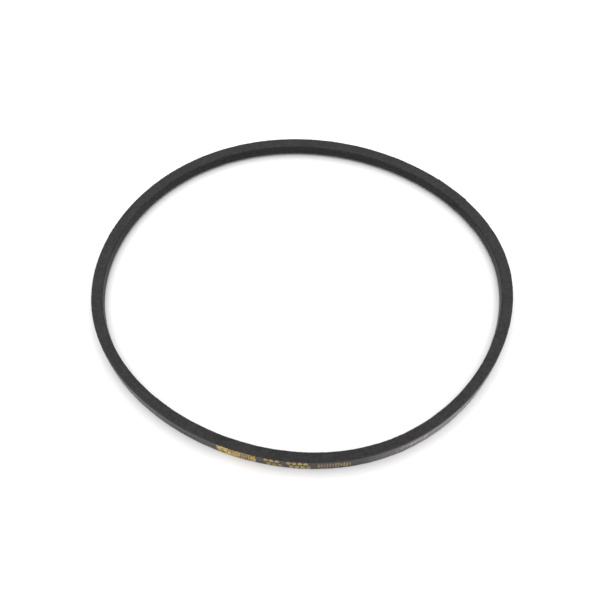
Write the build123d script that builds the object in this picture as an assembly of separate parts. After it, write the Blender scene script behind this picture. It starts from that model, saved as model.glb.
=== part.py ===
from build123d import *
import math
import os

# Wrapped classical V-belt, section A, 36 inch inside length, lying on its side.
# Millimetres, +Z up. The origin is the centre of the loop on the surface that the belt lies on,
# and +X is the long axis of the slightly oval loop.
# A place on the belt is a heading (the direction that its back faces, in degrees from +X),
# a depth below the back, and a height above the surface.

# Section
TOP_WIDTH = 13.0
HEIGHT = 8.0
WEDGE_HALF_ANGLE = 19.0  # the 40 degree wedge, closed a little where the belt bends to the loop
BACK_CORNER_R = 0.6
BASE_CORNER_R = 1.2

# Layers, as depths below the back
PLY = 0.45
CORD_DEPTH = 2.75  # the pitch line
GUM_HALF = 0.8
COVER = 2 * PLY
GUM_TOP = CORD_DEPTH - GUM_HALF
GUM_BOTTOM = CORD_DEPTH + GUM_HALF
INNER_CORNER_R = 0.15

# Where the long edges of each wrapped ply meet: the outer ply on the base, the inner on the back
SEAM_GAP = 0.3
OUTER_SEAM_OFFSET = 1.1
INNER_SEAM_OFFSET = -2.4

# Tensile cord, one length wound as a helix
CORD_DIAMETER = 0.9
CORD_SIDES = 12  # a twisted cord is not quite round, and flats keep the long helix light
CORD_ROLL = 180.0 / CORD_SIDES  # puts the middle of a flat, and no corner, where the gums meet
CORD_PITCH = 1.25
CORD_TURNS = 6

# Loop: arcs of equal turn. The radius of the back swings about its mean by these shares of it:
# {waves round the loop: (share, phase in degrees)}
INSIDE_LENGTH = 914.4
ARCS = 24
OVALITY = {2: (0.116, 180.0), 3: (0.021, -72.0), 4: (0.119, -88.0), 5: (0.039, -170.0)}
MEAN_BACK_R = INSIDE_LENGTH / (2 * math.pi) + HEIGHT
TURN = 360.0 / ARCS

# Marks printed on the back, each between two headings
FOIL = 0.05
LABEL_PANEL = (-104.9, -96.6)
MARK_ROWS = (-95.0, -84.3)
SERIAL_ROW = (-82.9, -74.5)
BATCH_STAMP = (-62.4, -52.8)
PRINT_HEIGHT = 10.4

# Label panel
PANEL_BARS = 5
PANEL_EDGE = 4.0  # from the last bar to the panel's end
BAR_PITCH = 1.5
BAR_HEIGHT = 7.0
PANEL_LINE = 4.6
PANEL_LINE_SHIFT = -1.2  # from the panel's middle
PANEL_STROKE = 0.8
EMBLEM_SIZE = 5.6
EMBLEM_FOOT = 0.6  # its narrow side, as a share of its wide side

# Two rows of marks, serial row and batch stamp
MARKS_PER_ROW = 8
GAP_CELL = 3
MARK_WIDTH = 3.1
MARK_HEIGHT = 4.6
MARK_STROKE = 0.55
ROW_OFFSET = 2.85  # of each row from the middle of the back
ROW_STAGGER = 0.5  # of the lower row along the belt, in cells
SERIAL_MARKS = 12
SERIAL_WIDTH = 1.1
SERIAL_HEIGHT = 7.0
SERIAL_SHORT = 0.7  # height of every third mark, as a share
STAMP_MARKS = 7
STAMP_WIDTH = 0.9
STAMP_SLANT = 30.0
STAMP_LENGTH = 4.2
STAMP_OFFSET = 2.1

SLOPE = math.tan(math.radians(WEDGE_HALF_ANGLE))
SLANT = math.cos(math.radians(WEDGE_HALF_ANGLE))
CORNER_LOSS = BACK_CORNER_R * (SLOPE + 1 / SLANT - 1)  # what rounding takes off the width
MIDDLE = TOP_WIDTH / 2 - CORNER_LOSS


# ---------------------------------------------------------------- the loop

def direction(heading):
    """Unit vector that the back faces at a heading."""
    angle = math.radians(heading)
    return Vector(math.cos(angle), math.sin(angle))


def arc_radius(i):
    """Radius of the back on arc i."""
    middle = math.radians((i + 0.5) * TURN)
    swing = 0.0
    for waves, (share, phase) in OVALITY.items():
        swing += share * math.cos(waves * middle - math.radians(phase))
    return MEAN_BACK_R * (1 + swing)


def loop_centres():
    """The arcs' centres: each arc is tangent to the next, and the loop is centred on the origin."""
    centres = [Vector(0, 0)]
    for i in range(1, ARCS):
        step = arc_radius(i - 1) - arc_radius(i)
        centres.append(centres[-1] + direction(i * TURN) * step)
    quarter = ARCS // 4
    corners = [centres[i] + direction(i * TURN) * arc_radius(i) for i in range(0, ARCS, quarter)]
    middle = Vector(corners[0].X + corners[2].X, corners[1].Y + corners[3].Y) / 2
    return [c - middle for c in centres]


CENTRES = loop_centres()


def arcs_between(start, end):
    """(arc, first heading, last heading) for each arc from one heading to another."""
    spans = []
    for k in range(math.floor(start / TURN), math.ceil(end / TURN)):
        spans.append((k % ARCS, max(start, k * TURN), min(end, (k + 1) * TURN)))
    return spans


def back_point(i, heading):
    return CENTRES[i] + direction(heading) * arc_radius(i)


def section_plane(i, heading):
    """Plane across the belt: x outward from the back, y up."""
    out = direction(heading)
    return Plane(back_point(i, heading), x_dir=out, z_dir=Vector(out.Y, -out.X))


def back_plane(heading):
    """Plane on the back: x along the belt, y up."""
    i = math.floor(heading / TURN) % ARCS
    out = direction(heading)
    return Plane(back_point(i, heading), x_dir=Vector(-out.Y, out.X), z_dir=out)


def joined(pieces):
    return pieces[0] + pieces[1:] if len(pieces) > 1 else pieces[0]


def arc_piece(section, i, first, last):
    """A section carried along one arc."""
    face = section_plane(i, first) * section
    return revolve(face, Axis((CENTRES[i].X, CENTRES[i].Y, 0), (0, 0, 1)), last - first)


def swept(section, start=0.0, end=360.0):
    """A section carried along the belt from one heading to another."""
    return joined([arc_piece(section, *span) for span in arcs_between(start, end)])


# ---------------------------------------------------------------- the layers

def half_width(depth, inset):
    """Half the width of the wedge at a depth, inside a cover of thickness inset."""
    return TOP_WIDTH / 2 - depth * SLOPE - inset / SLANT


def wedge(top, bottom, inset, top_corner=0.0, bottom_corner=0.0):
    """The wedge between two depths, with rounded corners where a radius is given."""
    corners = []
    for depth, side in ((top, 1), (bottom, 1), (bottom, -1), (top, -1)):
        corners.append((-depth, MIDDLE + side * half_width(depth, inset)))
    face = make_face(Polyline(*corners, close=True))
    if bottom_corner:
        face = fillet(face.vertices().sort_by(Axis.X)[:2], bottom_corner)
    if top_corner:
        face = fillet(face.vertices().sort_by(Axis.X)[-2:], top_corner)
    return face


def cover_outline(inset):
    """The rounded wedge, set in from the belt's surface."""
    back_r = max(BACK_CORNER_R - inset, INNER_CORNER_R)
    base_r = max(BASE_CORNER_R - inset, INNER_CORNER_R)
    return wedge(inset, HEIGHT - inset, inset, back_r, base_r)


def wrapped_ply(inset, seam_depth, seam_offset):
    """One ply of canvas wrapped round the wedge, with a gap where its two edges meet."""
    seam = Pos(-seam_depth, MIDDLE + seam_offset) * Rectangle(3 * PLY, SEAM_GAP)
    return swept(cover_outline(inset) - cover_outline(inset + PLY) - seam)


def outer_cover_ply():
    return wrapped_ply(0.0, HEIGHT, OUTER_SEAM_OFFSET)


def inner_cover_ply():
    return wrapped_ply(PLY, PLY, INNER_SEAM_OFFSET)


def tension_rubber():
    return swept(wedge(COVER, GUM_TOP, COVER, INNER_CORNER_R))


def compression_rubber():
    return swept(wedge(GUM_BOTTOM, HEIGHT - COVER, COVER, 0.0, BASE_CORNER_R - COVER))


# ---------------------------------------------------------------- the cord and its bed

def cord_helices():
    """(arc, start height, centre line) of the cord on each arc of each turn, at one slope."""
    slope = CORD_PITCH / (2 * math.pi * (MEAN_BACK_R - CORD_DEPTH))
    height = MIDDLE - CORD_TURNS * CORD_PITCH / 2
    helices = []
    for k in range(CORD_TURNS * ARCS):
        i = k % ARCS
        radius = arc_radius(i) - CORD_DEPTH
        pitch = slope * 2 * math.pi * radius
        helix = Helix(pitch=pitch, height=pitch / ARCS, radius=radius)
        place = Pos(CENTRES[i].X, CENTRES[i].Y, height) * Rot(0, 0, i * TURN)
        helices.append((i, height, place * helix))
        height += pitch / ARCS
    return helices


def cord_along(path, i, height):
    """Cord along a path that starts on arc i, its end flat across the belt."""
    profile = Pos(-CORD_DEPTH, height) * RegularPolygon(CORD_DIAMETER / 2, CORD_SIDES, rotation=CORD_ROLL)
    return sweep(section_plane(i, i * TURN) * profile, path, is_frenet=True)


def tensile_cord():
    helices = cord_helices()
    first_arc, first_height, _ = helices[0]
    return cord_along(Wire([path for _, _, path in helices]), first_arc, first_height)


def bedded_gum(top, bottom):
    """A layer of gum, without the space that the cord lies in."""
    helices = cord_helices()
    pieces = []
    for i, first, last in arcs_between(0.0, 360.0):
        layer = arc_piece(wedge(top, bottom, COVER), i, first, last)
        cords = [cord_along(path, i, height) for arc, height, path in helices if arc == i]
        pieces.append(layer - cords)
    return joined(pieces)


def upper_cord_gum():
    return bedded_gum(GUM_TOP, CORD_DEPTH)


def lower_cord_gum():
    return bedded_gum(CORD_DEPTH, GUM_BOTTOM)


# ---------------------------------------------------------------- the printed marks

def printed(marks, span):
    """Foil on the back in the shape of each (heading, flat shape)."""
    band = swept(Pos(FOIL / 2, MIDDLE) * Rectangle(FOIL, PRINT_HEIGHT), *span)
    cutters = [extrude(back_plane(heading) * shape, HEIGHT / 2, both=True) for heading, shape in marks]
    return band & joined(cutters)


def spread(span, count):
    """Headings of equal cells across a span."""
    start, end = span
    return [start + (k + 0.5) * (end - start) / count for k in range(count)]


def span_length(span):
    """Length of a run along the back."""
    return sum(math.radians(last - first) * arc_radius(i) for i, first, last in arcs_between(*span))


def belt_emblem(width, height):
    """A hollow wedge, the outline of a belt's section."""
    shapes = []
    for inset in (0.0, PANEL_STROKE):
        top, half = height / 2 - inset, width / 2 - inset
        foot = half * EMBLEM_FOOT
        outline = Polyline((-half, top), (half, top), (foot, -top), (-foot, -top), close=True)
        shapes.append(make_face(outline))
    return shapes[0] - shapes[1]


def diamond_emblem(width, height):
    """A hollow diamond."""
    shapes = []
    inset = MARK_STROKE * math.hypot(width, height) / (width * height)
    for share in (1.0, 1.0 - 2 * inset):
        half, top = share * width / 2, share * height / 2
        shapes.append(make_face(Polyline((-half, 0), (0, top), (half, 0), (0, -top), close=True)))
    return shapes[0] - shapes[1]


def gold_label_panel():
    """A panel with the section's emblem, two lines and a comb of bars left open in it."""
    length = span_length(LABEL_PANEL)
    panel = Rectangle(length, TOP_WIDTH)
    panel -= Pos(EMBLEM_SIZE - length / 2, 0) * belt_emblem(EMBLEM_SIZE, EMBLEM_SIZE)
    for side in (-1, 1):
        place = Pos(PANEL_LINE_SHIFT, side * 2 * PANEL_STROKE)
        panel -= place * Rectangle(PANEL_LINE, PANEL_STROKE)
    for k in range(PANEL_BARS):
        panel -= Pos(length / 2 - PANEL_EDGE - k * BAR_PITCH, 0) * Rectangle(PANEL_STROKE, BAR_HEIGHT)
    heading = sum(LABEL_PANEL) / 2
    return printed([(heading, Pos(0, MIDDLE) * panel)], LABEL_PANEL)


def mark_row(offset_up, stagger):
    """A row of hollow diamonds with one cell left empty, moved along by a share of a cell."""
    start, end = MARK_ROWS
    cell = (end - start) / (MARKS_PER_ROW + ROW_STAGGER)
    diamond = Pos(0, MIDDLE + offset_up) * diamond_emblem(MARK_WIDTH, MARK_HEIGHT)
    filled = [k for k in range(MARKS_PER_ROW) if k != GAP_CELL]
    return printed([(start + (k + 0.5 + stagger) * cell, diamond) for k in filled], MARK_ROWS)


def gold_marks_upper():
    return mark_row(ROW_OFFSET, 0.0)


def gold_marks_lower():
    return mark_row(-ROW_OFFSET, ROW_STAGGER)


def serial_marks():
    """Upright ticks, every third one short."""
    marks = []
    for k, heading in enumerate(spread(SERIAL_ROW, SERIAL_MARKS)):
        height = SERIAL_HEIGHT * (SERIAL_SHORT if k % 3 == 2 else 1.0)
        marks.append((heading, Pos(0, MIDDLE) * Rectangle(SERIAL_WIDTH, height)))
    return printed(marks, SERIAL_ROW)


def batch_stamp():
    """Slanted silver strokes."""
    place = Pos(0, MIDDLE + STAMP_OFFSET) * Rot(0, 0, -STAMP_SLANT)
    stroke = place * Rectangle(STAMP_WIDTH, STAMP_LENGTH)
    return printed([(heading, stroke) for heading in spread(BATCH_STAMP, STAMP_MARKS)], BATCH_STAMP)


PARTS = (
    outer_cover_ply,
    inner_cover_ply,
    tension_rubber,
    upper_cord_gum,
    tensile_cord,
    lower_cord_gum,
    compression_rubber,
    gold_label_panel,
    gold_marks_upper,
    gold_marks_lower,
    serial_marks,
    batch_stamp,
)

os.makedirs("parts", exist_ok=True)
for make in PARTS:
    export_step(make(), f"parts/{make.__name__}.step")
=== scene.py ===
"""The looks of a wrapped V-belt that lies on its side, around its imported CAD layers."""

import math

import bmesh
import bpy
import numpy as np
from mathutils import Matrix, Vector


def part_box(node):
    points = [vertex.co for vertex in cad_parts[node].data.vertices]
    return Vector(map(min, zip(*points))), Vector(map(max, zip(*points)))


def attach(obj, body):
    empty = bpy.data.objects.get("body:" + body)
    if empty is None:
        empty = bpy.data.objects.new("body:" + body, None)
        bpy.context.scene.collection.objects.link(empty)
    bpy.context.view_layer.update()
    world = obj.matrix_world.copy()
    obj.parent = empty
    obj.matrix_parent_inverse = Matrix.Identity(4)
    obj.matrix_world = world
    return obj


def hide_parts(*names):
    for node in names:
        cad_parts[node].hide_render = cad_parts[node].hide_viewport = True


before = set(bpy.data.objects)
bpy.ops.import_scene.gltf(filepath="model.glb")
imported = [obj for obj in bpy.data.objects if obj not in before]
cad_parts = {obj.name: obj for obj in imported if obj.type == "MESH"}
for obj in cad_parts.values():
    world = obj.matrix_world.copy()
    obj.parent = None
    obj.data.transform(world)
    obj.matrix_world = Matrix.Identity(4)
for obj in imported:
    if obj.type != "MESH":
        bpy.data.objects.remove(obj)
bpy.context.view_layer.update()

MM = 0.001

# The belt's section and loop, as in the CAD model
TOP_WIDTH = 13.0 * MM
HEIGHT = 8.0 * MM
WEDGE_HALF_ANGLE = math.radians(19.0)
BACK_CORNER_R = 0.6 * MM
BASE_CORNER_R = 1.2 * MM
PLY = 0.45 * MM
SEAM_OFFSET = 1.1 * MM
OVALITY = {2: (0.116, 180.0), 3: (0.021, -72.0), 4: (0.119, -88.0), 5: (0.039, -170.0)}
ARCS = 24

cover_low, cover_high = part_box("outer_cover_ply")
MIDDLE_Z = (cover_low.z + cover_high.z) / 2

# Camera: where it stands round the loop, how high, how far off in mean radii, and what it aims at
CAMERA_HEADING = -83.48
CAMERA_ELEVATION = 56.645
CAMERA_DISTANCE = 3.1895
CAMERA_LENS = 38.23
CAMERA_AIM = (0.000434, -0.10332)
CAMERA_AIM_Z = -0.4 * MM
CAMERA_SENSOR = 36.0
CAMERA_CLIP = (0.01, 20.0)

# The cover's mesh: steps round the loop, and on half of the section
COVER_STEPS = 1190
HEADING_STEPS = 2880
BACK_STEPS = 5
BACK_CORNER_STEPS = 5
WALL_STEPS = 8
BASE_CORNER_STEPS = 4
BASE_STEPS = 4
SHARP = math.radians(50.0)

# How the real cover departs from the plain section. RESTING says how squarely a face looks down
# before the table presses its bumps flat. A splice is (start, end, rise), its ends in degrees
# round the loop. Ripples are (how many, fewest and most waves round the loop, most across the
# section in radians per metre, size). The painted sheen is (degrees round the loop, share): the
# back painted lighter there, in place of the light it catches.
SEAM_GAP = 0.1 * MM
EDGE_ROUND = 0.06 * MM
BACK_HALF = 6.0 * MM
CROWN = 0.08 * MM
RESTING = (0.05, 0.5)
BIAS = 1.0
STEP = 1.2 * MM
SPLICE_MIDDLE = 0.2
SPLICES = ((41.55, 52.2, 0.42 * MM), (168.3, 170.75, 0.15 * MM))
RIPPLES = ((14, 9, 90, 350.0, 0.012 * MM), (26, 100, 340, 900.0, 0.007 * MM))
RIPPLE_SEED = 7
RIPPLE_PHASES = 6.3
# Painted sheen: how much lighter the back is painted round the loop, standing for light it catches
PAINTED_SHEEN = (
    (-180.0, 0.2), (-150.0, 0.35), (-130.0, 0.3), (-114.0, 0.0), (-72.0, 0.0), (-62.0, 0.45), (-50.0, 1.0),
    (-27.0, 1.0), (-5.0, 0.3), (30.0, 0.05), (100.0, 0.05), (180.0, 0.2),
)

# Printed marks, as in the CAD model: runs in degrees round the loop, sizes in millimetres
LABEL_PANEL = (-104.9, -96.6)
MARK_ROWS = (-95.0, -84.3)
SERIAL_ROW = (-82.9, -74.5)
BATCH_STAMP = (-62.4, -52.8)
PANEL_HEIGHT = 10.4
PANEL_BARS = 5
PANEL_EDGE = 4.0
BAR_PITCH = 1.5
BAR_HEIGHT = 7.0
PANEL_LINE = 4.6
PANEL_LINE_SHIFT = -1.2
PANEL_LINE_OFFSET = 1.6
PANEL_STROKE = 0.8
EMBLEM_SIZE = 5.6
EMBLEM_FOOT = 0.6
MARKS_PER_ROW = 8
GAP_CELL = 3
MARK_WIDTH = 3.1
MARK_HEIGHT = 4.6
MARK_STROKE = 0.55
ROW_OFFSET = 2.85
ROW_STAGGER = 0.5
SERIAL_MARKS = 12
SERIAL_WIDTH = 1.1
SERIAL_HEIGHT = 7.0
SERIAL_SHORT = 0.7
SERIAL_CYCLE = 3
STAMP_MARKS = 7
STAMP_WIDTH = 0.9
STAMP_SLANT = 30.0
STAMP_LENGTH = 4.2
STAMP_OFFSET = 2.1
FOIL_CELL = 1.0
FOIL_MERGE = 1e-4
FOIL = 0.05 * MM
FOIL_BED = 0.03 * MM

# Patterns: repeats of the weave along the belt, its pitch across in millimetres, scales per metre
# of the noises, but per millimetre across the streaks, and the finer noises' detail
WEAVE_REPEATS = 688
WEAVE_ACROSS = 0.81
STREAK_ALONG = 35.0
STREAK_ACROSS = 1.6
GRAIN_SCALE = 1500.0
MOTTLE_SCALE = 420.0
PATCH_SCALE = 130.0
CLOUD_SCALE = 60.0
TABLE_SCALE = 3.0
FINE_DETAIL = 3.0

# How a pattern or a share acts: (start, end, strength at the start, strength at the end)
ON_FACE = (0.55, 0.95, 0.0, 1.0)
# Lighter corners: wear, and in part a painted highlight where the rounded corners catch light
WEAR_AND_PAINTED_HIGHLIGHT_BY_GRAIN = (0.35, 0.7, 0.0, 0.5)
# The painted sheen on the back, broken up by the streaks
PAINTED_SHEEN_BY_STREAK = (0.25, 0.6, 0.55, 1.0)
WORN_BY_STREAK = (0.45, 0.75, 0.0, 0.55)
GAP_BY_WEAVE = (0.1, 0.5, 0.45, 0.0)
PALE_BY_CLOUD = (0.4, 0.7, 0.0, 0.25)
WORN_BY_MOTTLE = (0.42, 0.6, 0.0, 0.3)
DARK_BY_MOTTLE = (0.42, 0.56, 0.3, 0.0)
CANVAS_ROUGHNESS = (0.3, 0.7, 0.3, 0.44)
DULL_BY_PATCH = (0.36, 0.56, 0.0, 1.0)
PRINT_ROUGHNESS = (0.3, 0.7, 0.34, 0.6)
LIGHT_BY_GRAIN = (0.3, 0.7, 0.0, 1.0)

# What the grain adds to roughness and height, how wide the edge of worn print is, how well it
# holds on the yarns, and how much rougher a layer is where it is lightest
GRAIN_ROUGHNESS = 0.1
GRAIN_HEIGHT = 0.8
WEAR_SPREAD = 0.12
YARN_HOLD = 0.12
LAYER_ROUGHNESS_SPREAD = 0.15

# Bumps: strength and depth
CANVAS_BUMP = (0.6, 0.05 * MM)
PRINT_BUMP = (0.4, 0.04 * MM)
LAYER_BUMP = (0.3, 0.05 * MM)

# Colours
WALL = (0.0112, 0.0099, 0.0109, 1.0)
BACK = (0.045, 0.0375, 0.033, 1.0)
BASE = (0.007, 0.0065, 0.007, 1.0)
WORN = (0.031, 0.029, 0.0295, 1.0)
BARE = (0.04, 0.038, 0.036, 1.0)
GAP_LEVEL = 0.004
MOTTLE_LEVEL = 0.006
CLOUD_LEVEL = 0.03
CLOUD_WARMTH = 0.08
GOLD = (0.67, 0.51, 0.14, 1.0)
GOLD_DULL = (0.36, 0.24, 0.06, 1.0)
ROW_GOLD = (0.84, 0.67, 0.21, 1.0)
ROW_GOLD_DULL = (0.63, 0.44, 0.1, 1.0)
INK = (0.35, 0.265, 0.08, 1.0)
INK_DULL = (0.2, 0.14, 0.05, 1.0)
SILVER = (0.85, 0.82, 0.78, 1.0)
SILVER_DULL = (0.45, 0.43, 0.4, 1.0)
# Colour of the painted sheen on the back
PAINTED_SHEEN_COLOUR = (0.37, 0.35, 0.33, 1.0)
FLOOR_COLOUR = (0.845, 0.841, 0.85, 1.0)
FLOOR_COLOUR_LOW = (0.82, 0.816, 0.825, 1.0)
WHITE = (1.0, 1.0, 1.0, 1.0)
SPECULAR = 0.2

# CAD layers inside the cover: material, darkest and lightest grey, warmth, noise scale, roughness
LAYERS = {
    "inner_cover_ply": ("inner_canvas", 0.02, 0.05, 0.0, 1200.0, 0.6),
    "tension_rubber": ("tension_rubber_look", 0.012, 0.02, 0.0, 500.0, 0.5),
    "compression_rubber": ("compression_rubber_look", 0.01, 0.018, 0.0, 500.0, 0.5),
    "upper_cord_gum": ("cord_gum_look", 0.03, 0.05, 0.1, 700.0, 0.5),
    "lower_cord_gum": ("lower_gum_look", 0.03, 0.05, 0.1, 700.0, 0.5),
    "tensile_cord": ("tensile_cord_look", 0.45, 0.6, 0.1, 1500.0, 0.7),
}

# The table, and the room's light: its strength low down and overhead, where it turns from one to
# the other, which way is overhead, and how bright the backdrop is
FLOOR_SIZE = 6.0
FLOOR_ROUGHNESS = 0.9
ROOM_DARK = 0.35
ROOM_BRIGHT = 2.4
ROOM_EDGE = (0.3, 0.95)
ROOM_AXIS = (0.0, 0.17, 0.985)
BACKDROP = 1.0


# ---------------------------------------------------------------- the loop and the section

def wave_terms():
    """(waves, share of the mean radius, phase) of the smooth loop through the CAD model's arcs."""
    for waves, (share, phase) in OVALITY.items():
        half_turn = waves * math.pi / ARCS
        yield waves, share * math.sin(half_turn) / half_turn, math.radians(phase)


def support(heading):
    """Distance from the loop's own centre to the back's tangent at a heading, and its slope."""
    distance = np.ones_like(heading)
    slope = np.zeros_like(heading)
    for waves, share, phase in wave_terms():
        size = share / (1 - waves**2)
        distance += size * np.cos(waves * heading - phase)
        slope -= size * waves * np.sin(waves * heading - phase)
    return distance, slope


QUARTERS = support(np.radians([0.0, 90.0, 180.0, 270.0]))[0]
MEAN_R = float((cover_high.x - cover_low.x) / (QUARTERS[0] + QUARTERS[2]))
SHIFT_X = MEAN_R * (QUARTERS[0] - QUARTERS[2]) / 2
SHIFT_Y = MEAN_R * (QUARTERS[1] - QUARTERS[3]) / 2
LENGTH = 2 * math.pi * MEAN_R


def back_length(heading):
    """Distance along the back from heading 0."""
    length = heading.copy()
    for waves, share, phase in wave_terms():
        length += share / waves * (np.sin(waves * heading - phase) + math.sin(phase))
    return MEAN_R * length


HEADINGS = np.radians(np.linspace(-180.0, 180.0, HEADING_STEPS + 1))
LENGTHS = back_length(HEADINGS)


def seeded_waves():
    """(waves round the loop, waves across, phase, size) of every ripple in the cover."""
    rng = np.random.default_rng(RIPPLE_SEED)
    waves = []
    for count, fewest, most, across, size in RIPPLES:
        for _ in range(count):
            runs = rng.integers(fewest, most)
            waves.append((runs, rng.uniform(-across, across), rng.uniform(0.0, RIPPLE_PHASES), size))
    return waves


WAVES = seeded_waves()


def length_at(degrees):
    """Distance along the back at a heading in degrees."""
    return float(np.interp(math.radians(degrees), HEADINGS, LENGTHS))


def place(along, out, up):
    """Points on the belt: distance along the back, distance out from it, height above the middle."""
    heading = np.interp(along, LENGTHS, HEADINGS)
    distance, slope = support(heading)
    reach = MEAN_R * distance + out
    side = MEAN_R * slope
    x = reach * np.cos(heading) - side * np.sin(heading) - SHIFT_X
    y = reach * np.sin(heading) + side * np.cos(heading) - SHIFT_Y
    return np.stack(np.broadcast_arrays(x, y, MIDDLE_Z + up), axis=-1)


def corner(radius, out, first, last, steps):
    """Points and normals of a rounded corner between the side wall and the face at an out."""
    outward = -1 if out < -HEIGHT / 2 else 1
    centre_out = out - outward * radius
    tilt = math.sin(WEDGE_HALF_ANGLE)
    centre_up = TOP_WIDTH / 2 + (centre_out * tilt - radius) / math.cos(WEDGE_HALF_ANGLE)
    angles = np.linspace(first, last, steps + 1)
    normals = np.stack([np.cos(angles), np.sin(angles)], axis=-1)
    return np.array([centre_out, centre_up]) + radius * normals, normals


def upper_half():
    """Points and normals of the section's upper half: back, corner, side wall, corner, base."""
    side_angle = math.pi / 2 + WEDGE_HALF_ANGLE
    back_corner = corner(BACK_CORNER_R, 0.0, 0.0, side_angle, BACK_CORNER_STEPS)
    base_corner = corner(BASE_CORNER_R, -HEIGHT, side_angle, math.pi, BASE_CORNER_STEPS)
    runs = [
        (np.array([0.0, 0.0]), back_corner[0][0], (1.0, 0.0), BACK_STEPS),
        (back_corner[0][-1], base_corner[0][0], back_corner[1][-1], WALL_STEPS),
        (base_corner[0][-1], np.array([-HEIGHT, 0.0]), (-1.0, 0.0), BASE_STEPS),
    ]
    points, normals = [], []
    for (start, end, normal, steps), bend in zip(runs, (back_corner, base_corner, None)):
        share = np.linspace(0.0, 1.0, steps + 1)[:-1, None]
        points.append(start + share * (end - start))
        normals.append(np.tile(normal, (steps, 1)))
        if bend:
            points.append(bend[0][:-1])
            normals.append(bend[1][:-1])
    return np.concatenate(points), np.concatenate(normals)


# ---------------------------------------------------------------- how the surface departs from the section

def smooth_step(value, start, end):
    """0 before the start, 1 after the end, and a smooth rise between."""
    share = np.clip((value - start) / (end - start), 0.0, 1.0)
    return share * share * (3.0 - 2.0 * share)


def splice(along, girth, start, end, rise):
    """A strip of canvas laid over its own end on the bias, proudest at its two edges."""
    on_bias = along - BIAS * (girth - BACK_HALF)
    first, last = length_at(start), length_at(end)
    over = smooth_step(on_bias, first - STEP, first) - smooth_step(on_bias, last, last + STEP)
    off_middle = np.clip(2.0 * (on_bias - first) / (last - first) - 1.0, -1.0, 1.0)
    return rise * over * (SPLICE_MIDDLE + (1.0 - SPLICE_MIDDLE) * off_middle**2)


def relief(along, girth):
    """How far the cover stands off the plain section, at a distance round it from the back's middle."""
    turn = 2 * math.pi * along / LENGTH
    height = np.zeros(np.broadcast(along, girth).shape)
    for waves, ripple, phase, size in WAVES:
        height += size * np.cos(waves * turn + ripple * girth + phase)
    back = np.clip(1.0 - (girth / BACK_HALF)**2, 0.0, 1.0)
    height += CROWN * back
    for lap in SPLICES:
        height += splice(along, girth, *lap)
    return height


# ---------------------------------------------------------------- the cover

def cover_outline():
    """Points and normals round the outside of the section, from one edge of the seam to the other."""
    points, normals = upper_half()
    mirror = np.array([1.0, -1.0])
    before_seam = ~np.isclose(points[:, 0], -HEIGHT) | (points[:, 1] > SEAM_OFFSET + SEAM_GAP)
    upper, upper_normals = points[before_seam], normals[before_seam]
    near, far = SEAM_OFFSET + SEAM_GAP / 2, SEAM_OFFSET - SEAM_GAP / 2
    first = [(-HEIGHT + EDGE_ROUND, near), (-HEIGHT, near + EDGE_ROUND)]
    last = [(-HEIGHT, 0.0), (-HEIGHT, far - EDGE_ROUND), (-HEIGHT + EDGE_ROUND, far)]
    down = np.array([-1.0, 0.0])
    outer = np.concatenate([first, upper[::-1], points[1:] * mirror, last])
    facing = np.concatenate([
        np.tile(down, (len(first), 1)),
        upper_normals[::-1],
        normals[1:] * mirror,
        np.tile(down, (len(last), 1)),
    ])
    return outer, facing


def distance_round(outer):
    """Distance along the outline from the back's middle, positive on the upper half."""
    steps = np.linalg.norm(np.diff(outer, axis=0), axis=1)
    distance = np.concatenate([[0.0], np.cumsum(steps)])
    middle = np.argmin(np.abs(outer[:, 0]) + np.abs(outer[:, 1]))
    return distance[middle] - distance


def inner_choice(facing):
    """The outline's corners and ends, which are enough for the hidden inside of the ply."""
    turns = ~np.isclose(np.linalg.norm(np.diff(facing, axis=0), axis=1), 0.0)
    keep = np.concatenate([[True], turns]) | np.concatenate([turns, [True]])
    return np.nonzero(keep)[0][::-1]


def cover_points(along, outer, facing, girth, chosen):
    """The cover's points, ring by ring: its outside with the relief, and its plain inside."""
    height = relief(along[:, None], girth[None, :])
    pressed = smooth_step(-facing[:, 1], *RESTING)
    height -= pressed * np.clip(height, 0.0, None)
    outside = place(along[:, None], outer[:, 0] + facing[:, 0] * height, outer[:, 1] + facing[:, 1] * height)
    inner = (outer - PLY * facing)[chosen]
    inside = place(along[:, None], inner[None, :, 0], inner[None, :, 1])
    return np.concatenate([outside, inside], axis=1)


def ring_indices(rings, ring):
    """Each point's ring and its place in the ring, and the next ring and place."""
    i, j = np.meshgrid(np.arange(rings), np.arange(ring), indexing="ij")
    return i, j, (i + 1) % rings, (j + 1) % ring


def cover_mesh(name):
    """The outer ply, open along its seam, with what its material needs to know."""
    outer, facing = cover_outline()
    girth = distance_round(outer)
    chosen = inner_choice(facing)
    along = LENGTHS[0] + np.arange(COVER_STEPS) * LENGTH / COVER_STEPS
    points = cover_points(along, outer, facing, girth, chosen)
    rings, ring = points.shape[:2]
    i, j, i_next, j_next = ring_indices(rings, ring)
    corners = [i * ring + j, i_next * ring + j, i_next * ring + j_next, i * ring + j_next]
    faces = np.stack(corners, axis=-1).reshape(-1, 4)
    mesh = bpy.data.meshes.new(name)
    mesh.from_pydata(points.reshape(-1, 3).tolist(), [], faces.tolist())
    add_belt_map(mesh, along, np.concatenate([girth, girth[chosen]]))
    everywhere = np.ones(rings)
    # The painted sheen's share round the loop, kept as a vertex attribute for the canvas
    painted_sheen = np.interp(np.degrees(np.interp(along, LENGTHS, HEADINGS)), *np.array(PAINTED_SHEEN).T)
    shares = (
        ("back", everywhere, facing[:, 0]),
        ("base", everywhere, -facing[:, 0]),
        ("corner", everywhere, corner_share(facing)),
        ("painted_sheen", painted_sheen, facing[:, 0]),
    )
    for share_name, round_loop, outside in shares:
        add_share(mesh, share_name, round_loop, np.concatenate([outside, 0 * chosen]))
    return mesh


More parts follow.
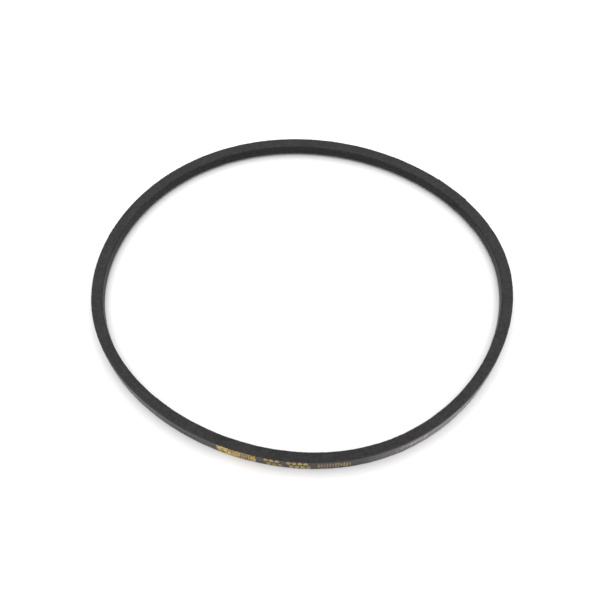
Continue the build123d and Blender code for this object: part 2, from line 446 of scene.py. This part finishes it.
def corner_share(facing):
    """1 in the middle of each rounded corner, and 0 on the flat faces."""
    angle = np.arctan2(np.abs(facing[:, 1]), facing[:, 0])
    wall = math.pi / 2 + WEDGE_HALF_ANGLE
    at_back = np.clip(np.sin(math.pi * np.clip(angle / wall, 0, 1)), 0, 1)
    at_base = np.clip(np.sin(math.pi * np.clip((angle - wall) / (math.pi - wall), 0, 1)), 0, 1)
    return np.maximum(at_back, at_base)


def add_share(mesh, name, along, round_section):
    """A vertex attribute from 0 to 1: a share for each ring, times one for each place in the ring."""
    shares = np.clip(np.outer(along, round_section), 0.0, 1.0)
    attribute = mesh.attributes.new(name, "FLOAT", "POINT")
    attribute.data.foreach_set("value", shares.astype(np.float32).ravel())


def add_belt_map(mesh, along, girths):
    """A UV layer in millimetres: the distance along the belt, and round its section."""
    rings = len(along)
    i, j, _, j_next = ring_indices(rings, len(girths))
    start, end = along[i], along[i] + LENGTH / rings
    u = np.stack([start, end, end, start], axis=-1)
    v = np.stack([girths[j], girths[j], girths[j_next], girths[j_next]], axis=-1)
    layer = mesh.uv_layers.new(name="Belt")
    layer.data.foreach_set("uv", (np.stack([u, v], axis=-1) / MM).astype(np.float32).ravel())


def finish_mesh(mesh):
    """Faces outward, smooth apart from the sharp edges."""
    bm = bmesh.new()
    bm.from_mesh(mesh)
    bmesh.ops.recalc_face_normals(bm, faces=bm.faces)
    for face in bm.faces:
        face.smooth = True
    for edge in bm.edges:
        edge.smooth = edge.calc_face_angle(0.0) < SHARP
    bm.to_mesh(mesh)
    bm.free()


# ---------------------------------------------------------------- the printed marks

def rectangle(x, y, width, height, slant=0.0):
    """Corners of an upright rectangle, turned by a slant in degrees. Millimetres."""
    angle = math.radians(slant)
    corners = [(-1, -1), (1, -1), (1, 1), (-1, 1)]
    turned = []
    for side, end in corners:
        across, up = side * width / 2, end * height / 2
        turned.append((
            x + across * math.cos(angle) + up * math.sin(angle),
            y - across * math.sin(angle) + up * math.cos(angle),
        ))
    return turned


def emblem_rings(x):
    """The outer and inner edge of a hollow wedge, like a belt's section."""
    rings = []
    for inset in (0.0, PANEL_STROKE):
        half = EMBLEM_SIZE / 2 - inset
        foot = half * EMBLEM_FOOT
        rings.append([(x - half, half), (x + half, half), (x + foot, -half), (x - foot, -half)])
    return rings


def diamond_rings(x, y):
    """The outer and inner edge of a hollow diamond."""
    inset = MARK_STROKE * math.hypot(MARK_WIDTH, MARK_HEIGHT) / (MARK_WIDTH * MARK_HEIGHT)
    rings = []
    for share in (1.0, 1.0 - 2 * inset):
        half, top = share * MARK_WIDTH / 2, share * MARK_HEIGHT / 2
        rings.append([(x - half, y), (x, y + top), (x + half, y), (x, y - top)])
    return rings


def span_of(span):
    """Middle and length of a run of marks, along the back and in millimetres."""
    start, end = length_at(span[0]) / MM, length_at(span[1]) / MM
    return (start + end) / 2, end - start


def cells(span, count):
    """Places of evenly spaced marks, from the middle of their run."""
    _, length = span_of(span)
    return [((k + 0.5) / count - 0.5) * length for k in range(count)]


def label_outlines():
    """The panel, with its emblem, two lines and bars left open in it."""
    _, length = span_of(LABEL_PANEL)
    outlines = [rectangle(0.0, 0.0, length, PANEL_HEIGHT)]
    outlines += emblem_rings(EMBLEM_SIZE - length / 2)
    for side in (-1, 1):
        outlines.append(rectangle(PANEL_LINE_SHIFT, side * PANEL_LINE_OFFSET, PANEL_LINE, PANEL_STROKE))
    for k in range(PANEL_BARS):
        outlines.append(rectangle(length / 2 - PANEL_EDGE - k * BAR_PITCH, 0.0, PANEL_STROKE, BAR_HEIGHT))
    return outlines


def row_outlines(offset, stagger):
    """A row of hollow diamonds with one left out, shifted along by a share of a cell."""
    _, length = span_of(MARK_ROWS)
    cell = length / (MARKS_PER_ROW + ROW_STAGGER)
    outlines = []
    for k in range(MARKS_PER_ROW):
        if k != GAP_CELL:
            outlines += diamond_rings((k + 0.5 + stagger) * cell - length / 2, offset)
    return outlines


def serial_outlines():
    """A row of ticks, the last of each cycle shorter."""
    outlines = []
    for k, x in enumerate(cells(SERIAL_ROW, SERIAL_MARKS)):
        share = SERIAL_SHORT if (k + 1) % SERIAL_CYCLE == 0 else 1.0
        outlines.append(rectangle(x, 0.0, SERIAL_WIDTH, SERIAL_HEIGHT * share))
    return outlines


def stamp_outlines():
    """A row of slanted strokes."""
    return [
        rectangle(x, STAMP_OFFSET, STAMP_WIDTH, STAMP_LENGTH, STAMP_SLANT)
        for x in cells(BATCH_STAMP, STAMP_MARKS)
    ]


def filled(name, outlines):
    """A flat mesh in closed outlines, where an outline inside another is a hole. Millimetres."""
    curve = bpy.data.curves.new(name, "CURVE")
    curve.dimensions = "2D"
    curve.fill_mode = "BOTH"
    for outline in outlines:
        spline = curve.splines.new("POLY")
        spline.points.add(len(outline) - 1)
        for point, (x, y) in zip(spline.points, outline):
            point.co = (x, y, 0.0, 1.0)
        spline.use_cyclic_u = True
    holder = bpy.data.objects.new(name, curve)
    mesh = bpy.data.meshes.new_from_object(holder)
    bpy.data.objects.remove(holder)
    bpy.data.curves.remove(curve)
    return mesh


def cut_in_cells(bm, axis, pitch):
    """Cuts a flat mesh at every whole multiple of a pitch along an axis."""
    values = [vertex.co[axis] for vertex in bm.verts]
    normal = [0.0, 0.0, 0.0]
    normal[axis] = 1.0
    for k in range(math.ceil(min(values) / pitch), math.floor(max(values) / pitch) + 1):
        point = [0.0, 0.0, 0.0]
        point[axis] = k * pitch
        geometry = bm.verts[:] + bm.edges[:] + bm.faces[:]
        bmesh.ops.bisect_plane(bm, geom=geometry, plane_co=point, plane_no=normal)


def foil_mesh(name, outlines, span):
    """Foil of even thickness that follows the back under it, bedded a little into it."""
    mesh = filled(name, outlines)
    bm = bmesh.new()
    bm.from_mesh(mesh)
    bmesh.ops.remove_doubles(bm, verts=bm.verts, dist=FOIL_MERGE)
    cut_in_cells(bm, 0, FOIL_CELL)
    cut_in_cells(bm, 1, FOIL_CELL)
    raised = bmesh.ops.extrude_face_region(bm, geom=bm.faces[:])["geom"]
    for vertex in raised:
        if isinstance(vertex, bmesh.types.BMVert):
            vertex.co.z = 1.0
    layer = bm.loops.layers.uv.new("Belt")
    middle, _ = span_of(span)
    for face in bm.faces:
        for loop in face.loops:
            loop[layer].uv = (middle + loop.vert.co.x, loop.vert.co.y)
    flat = np.array([vertex.co for vertex in bm.verts])
    along, up = (middle + flat[:, 0]) * MM, flat[:, 1] * MM
    on_top = flat[:, 2] == 1.0
    lift = np.where(on_top, FOIL, -FOIL_BED)
    for vertex, point in zip(bm.verts, place(along, relief(along, up) + lift, up)):
        vertex.co = point
    bm.to_mesh(mesh)
    bm.free()
    return mesh


# ---------------------------------------------------------------- materials

def node(tree, kind, inputs=(), **settings):
    """A node with its settings, and its inputs as (socket, value or output) pairs."""
    made = tree.nodes.new(kind)
    for key, value in settings.items():
        setattr(made, key, value)
    for socket, value in inputs:
        if isinstance(value, bpy.types.NodeSocket):
            tree.links.new(value, made.inputs[socket])
        else:
            made.inputs[socket].default_value = value
    return made


def maths(tree, operation, first, second=0.0):
    """The result of a Math node."""
    return node(tree, "ShaderNodeMath", [(0, first), (1, second)], operation=operation).outputs[0]


def between(tree, value, start, end, low=0.0, high=1.0):
    """A value's place from start to end, as a number from low to high."""
    inputs = [("Value", value), ("From Min", start), ("From Max", end), ("To Min", low), ("To Max", high)]
    return node(tree, "ShaderNodeMapRange", inputs, interpolation_type="SMOOTHSTEP").outputs[0]


def mixed(tree, share, first, second):
    """Two colours, mixed by a share from 0 to 1."""
    inputs = [(0, share), (6, first), (7, second)]
    return node(tree, "ShaderNodeMix", inputs, data_type="RGBA").outputs[2]


def noise(tree, vector, scale, detail=2.0):
    """Smooth noise from 0 to 1."""
    inputs = [("Vector", vector), ("Scale", scale), ("Detail", detail)]
    return node(tree, "ShaderNodeTexNoise", inputs).outputs["Fac"]


def grey(level, warmth=0.0):
    """A grey, redder and less blue by a share."""
    return (level * (1 + warmth), level, level * (1 - warmth), 1.0)


def new_material(name):
    """A material, its node tree and its shader."""
    material = bpy.data.materials.new(name)
    material.use_nodes = True
    tree = material.node_tree
    return material, tree, tree.nodes["Principled BSDF"]


def position(tree):
    """Place in the object's own space, in metres."""
    return node(tree, "ShaderNodeTexCoord").outputs["Object"]


def belt_place(tree):
    """Distances along the belt and round its section, in millimetres."""
    uv = node(tree, "ShaderNodeUVMap", uv_map="Belt").outputs[0]
    apart = node(tree, "ShaderNodeSeparateXYZ", [(0, uv)])
    return apart.outputs[0], apart.outputs[1]


def share_of(tree, name):
    """One of the cover's vertex attributes."""
    return node(tree, "ShaderNodeAttribute", attribute_name=name).outputs["Fac"]


def add_bump(tree, shader, height, strength, depth):
    """Bumps of a depth in metres, where the height goes from 0 to 1."""
    inputs = [("Strength", strength), ("Distance", depth), ("Height", height)]
    tree.links.new(node(tree, "ShaderNodeBump", inputs).outputs[0], shader.inputs["Normal"])


def weave(tree, along, girth):
    """Height of plain canvas cut on the bias, from 0 in its gaps to 1 on its yarns."""
    pitch = LENGTH / MM / WEAVE_REPEATS
    runs = maths(tree, "MULTIPLY", along, math.pi / pitch)
    across = maths(tree, "MULTIPLY", girth, math.pi / WEAVE_ACROSS)
    warp = maths(tree, "SINE", maths(tree, "ADD", runs, across))
    weft = maths(tree, "SINE", maths(tree, "SUBTRACT", runs, across))
    crossing = maths(tree, "MULTIPLY", warp, weft)
    return maths(tree, "SQRT", maths(tree, "ABSOLUTE", crossing))


def streaks(tree, girth):
    """Marks that run along the belt, even where the map along it closes."""
    place = node(tree, "ShaderNodeSeparateXYZ", [(0, position(tree))])
    x = maths(tree, "MULTIPLY", place.outputs[0], STREAK_ALONG)
    y = maths(tree, "MULTIPLY", place.outputs[1], STREAK_ALONG)
    z = maths(tree, "MULTIPLY", girth, STREAK_ACROSS)
    vector = node(tree, "ShaderNodeCombineXYZ", [(0, x), (1, y), (2, z)]).outputs[0]
    return noise(tree, vector, 1.0, 3.0)


def canvas(name):
    """Rubbered canvas: lighter on the back, with a painted sheen there in places, and lighter at the
    corners, partly from wear and partly a painted highlight.
    """
    material, tree, shader = new_material(name)
    along, girth = belt_place(tree)
    cloth = weave(tree, along, girth)
    grain = noise(tree, position(tree), GRAIN_SCALE)
    cloud = noise(tree, position(tree), CLOUD_SCALE)
    mottle = noise(tree, position(tree), MOTTLE_SCALE, FINE_DETAIL)
    streak = streaks(tree, girth)
    on_back = between(tree, share_of(tree, "back"), *ON_FACE)
    on_base = between(tree, share_of(tree, "base"), *ON_FACE)
    # Painted sheen: the back painted lighter in places, in place of light caught there
    painted_sheen_amount = maths(tree, "MULTIPLY", share_of(tree, "painted_sheen"), between(tree, streak, *PAINTED_SHEEN_BY_STREAK))
    # Corners lighter: wear, and in part a painted highlight where they catch light
    wear_and_painted_highlight = maths(tree, "MULTIPLY", share_of(tree, "corner"), between(tree, grain, *WEAR_AND_PAINTED_HIGHLIGHT_BY_GRAIN))
    colour = mixed(tree, on_back, WALL, BACK)
    colour = mixed(tree, on_base, colour, BASE)
    # Mix in the painted sheen
    colour = mixed(tree, painted_sheen_amount, colour, PAINTED_SHEEN_COLOUR)
    colour = mixed(tree, between(tree, streak, *WORN_BY_STREAK), colour, WORN)
    # Mix in the corners' wear and painted highlight
    colour = mixed(tree, wear_and_painted_highlight, colour, WORN)
    colour = mixed(tree, between(tree, cloth, *GAP_BY_WEAVE), colour, grey(GAP_LEVEL))
    colour = mixed(tree, between(tree, cloud, *PALE_BY_CLOUD), colour, grey(CLOUD_LEVEL, CLOUD_WARMTH))
    colour = mixed(tree, between(tree, mottle, *WORN_BY_MOTTLE), colour, WORN)
    colour = mixed(tree, between(tree, mottle, *DARK_BY_MOTTLE), colour, grey(MOTTLE_LEVEL))
    tree.links.new(colour, shader.inputs["Base Color"])
    shader.inputs["Specular IOR Level"].default_value = SPECULAR
    sheen = between(tree, streak, *CANVAS_ROUGHNESS)
    rough = maths(tree, "ADD", sheen, maths(tree, "MULTIPLY", grain, GRAIN_ROUGHNESS))
    tree.links.new(rough, shader.inputs["Roughness"])
    height = maths(tree, "ADD", cloth, maths(tree, "MULTIPLY", grain, GRAIN_HEIGHT))
    add_bump(tree, shader, height, *CANVAS_BUMP)
    return material


def print_material(name, bright, dull, metallic, wear):
    """Stamped foil or ink in bright and dull patches, worn through where its mottle passes a wear."""
    material, tree, shader = new_material(name)
    along, girth = belt_place(tree)
    cloth = weave(tree, along, girth)
    mottle = noise(tree, position(tree), MOTTLE_SCALE, FINE_DETAIL)
    patch = noise(tree, position(tree), PATCH_SCALE)
    colour = mixed(tree, between(tree, patch, *DULL_BY_PATCH), bright, dull)
    rubbing = maths(tree, "SUBTRACT", mottle, maths(tree, "MULTIPLY", cloth, YARN_HOLD))
    loss = between(tree, rubbing, wear, wear + WEAR_SPREAD)
    colour = mixed(tree, loss, colour, BARE)
    tree.links.new(colour, shader.inputs["Base Color"])
    kept = maths(tree, "SUBTRACT", 1.0, loss)
    tree.links.new(maths(tree, "MULTIPLY", kept, metallic), shader.inputs["Metallic"])
    tree.links.new(between(tree, mottle, *PRINT_ROUGHNESS), shader.inputs["Roughness"])
    add_bump(tree, shader, cloth, *PRINT_BUMP)
    return material


def layer_material(name, dark, light, scale, rough):
    """Rubber, canvas or cord, for the layers inside."""
    material, tree, shader = new_material(name)
    grain = noise(tree, position(tree), scale, FINE_DETAIL)
    lightness = between(tree, grain, *LIGHT_BY_GRAIN)
    tree.links.new(mixed(tree, lightness, dark, light), shader.inputs["Base Color"])
    spread = maths(tree, "MULTIPLY", lightness, LAYER_ROUGHNESS_SPREAD)
    tree.links.new(maths(tree, "ADD", spread, rough), shader.inputs["Roughness"])
    add_bump(tree, shader, grain, *LAYER_BUMP)
    return material


def floor_material():
    """A white table, very slightly uneven in tone."""
    material, tree, shader = new_material("white_table")
    grain = noise(tree, position(tree), TABLE_SCALE)
    colour = mixed(tree, grain, FLOOR_COLOUR, FLOOR_COLOUR_LOW)
    tree.links.new(colour, shader.inputs["Base Color"])
    shader.inputs["Roughness"].default_value = FLOOR_ROUGHNESS
    shader.inputs["Specular IOR Level"].default_value = 0.0
    return material


# ---------------------------------------------------------------- the scene

def add_piece(name, mesh, nodes, material):
    """A visual piece that rides on the belt and stands for CAD nodes."""
    finish_mesh(mesh)
    mesh.materials.append(material)
    piece = bpy.data.objects.new(name, mesh)
    bpy.context.scene.collection.objects.link(piece)
    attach(piece, "root")
    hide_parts(*nodes)


def add_floor():
    """The table under the belt."""
    mesh = bpy.data.meshes.new("table_top")
    half = FLOOR_SIZE / 2
    corners = [(-half, -half, 0.0), (half, -half, 0.0), (half, half, 0.0), (-half, half, 0.0)]
    mesh.from_pydata(corners, [], [(0, 1, 2, 3)])
    mesh.materials.append(floor_material())
    floor = bpy.data.objects.new("table_top", mesh)
    bpy.context.scene.collection.objects.link(floor)


def add_camera():
    """The camera, aimed from its heading and elevation."""
    heading, elevation = math.radians(CAMERA_HEADING), math.radians(CAMERA_ELEVATION)
    away = Vector((
        math.cos(heading) * math.cos(elevation),
        math.sin(heading) * math.cos(elevation),
        math.sin(elevation),
    ))
    aim = Vector((CAMERA_AIM[0] * MEAN_R, CAMERA_AIM[1] * MEAN_R, CAMERA_AIM_Z))
    data = bpy.data.cameras.new("camera")
    data.lens = CAMERA_LENS
    data.sensor_width = CAMERA_SENSOR
    data.clip_start, data.clip_end = CAMERA_CLIP
    camera = bpy.data.objects.new("camera", data)
    camera.location = aim + CAMERA_DISTANCE * MEAN_R * away
    camera.rotation_euler = away.to_track_quat("Z", "Y").to_euler()
    bpy.context.scene.collection.objects.link(camera)
    bpy.context.scene.camera = camera


def set_world():
    """Light from a wide tent overhead, in a room that is dark lower down, before a pale backdrop."""
    world = bpy.data.worlds.new("white_room")
    world.use_nodes = True
    tree = world.node_tree
    way = node(tree, "ShaderNodeTexCoord").outputs["Generated"]
    upward = node(tree, "ShaderNodeVectorMath", [(0, way), (1, ROOM_AXIS)], operation="DOT_PRODUCT")
    tent = between(tree, upward.outputs["Value"], *ROOM_EDGE, ROOM_DARK, ROOM_BRIGHT)
    seen = node(tree, "ShaderNodeLightPath").outputs["Is Camera Ray"]
    strength = node(tree, "ShaderNodeMix", [(0, seen), (2, tent), (3, BACKDROP)]).outputs[0]
    background = tree.nodes["Background"]
    background.inputs["Color"].default_value = WHITE
    tree.links.new(strength, background.inputs["Strength"])
    bpy.context.scene.world = world
    bpy.context.scene.view_settings.view_transform = "Standard"


def paint_layers():
    """Materials for the CAD layers that stay as they are, inside the cover."""
    for layer_name, (name, darkest, lightest, warmth, scale, rough) in LAYERS.items():
        dark, light = grey(darkest, warmth), grey(lightest, warmth)
        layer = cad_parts[layer_name]
        layer.data.materials.clear()
        layer.data.materials.append(layer_material(name, dark, light, scale, rough))


cover_canvas = canvas("cover_canvas")
add_piece("canvas_cover", cover_mesh("canvas_cover"), ["outer_cover_ply"], cover_canvas)

gold = print_material("gold_foil", GOLD, GOLD_DULL, metallic=1.0, wear=0.52)
row_gold = print_material("row_gold_foil", ROW_GOLD, ROW_GOLD_DULL, metallic=0.8, wear=0.56)
dull_gold = print_material("dull_gold_ink", INK, INK_DULL, metallic=0.6, wear=0.55)
silver = print_material("silver_ink", SILVER, SILVER_DULL, metallic=0.2, wear=0.5)
upper_row, lower_row = row_outlines(ROW_OFFSET, 0.0), row_outlines(-ROW_OFFSET, ROW_STAGGER)
MARKS = (
    ("label_panel_foil", "gold_label_panel", LABEL_PANEL, label_outlines(), "gold_foil", gold),
    ("upper_marks_foil", "gold_marks_upper", MARK_ROWS, upper_row, "gold_foil", row_gold),
    ("lower_marks_foil", "gold_marks_lower", MARK_ROWS, lower_row, "gold_foil", row_gold),
    ("serial_ink", "serial_marks", SERIAL_ROW, serial_outlines(), "dull_gold_ink", dull_gold),
    ("batch_ink", "batch_stamp", BATCH_STAMP, stamp_outlines(), "silver_ink", silver),
)
for name, cad_node, span, outlines, slot_name, finish in MARKS:
    add_piece(name, foil_mesh(name, outlines, span), [cad_node], finish)

paint_layers()
add_floor()
set_world()
add_camera()
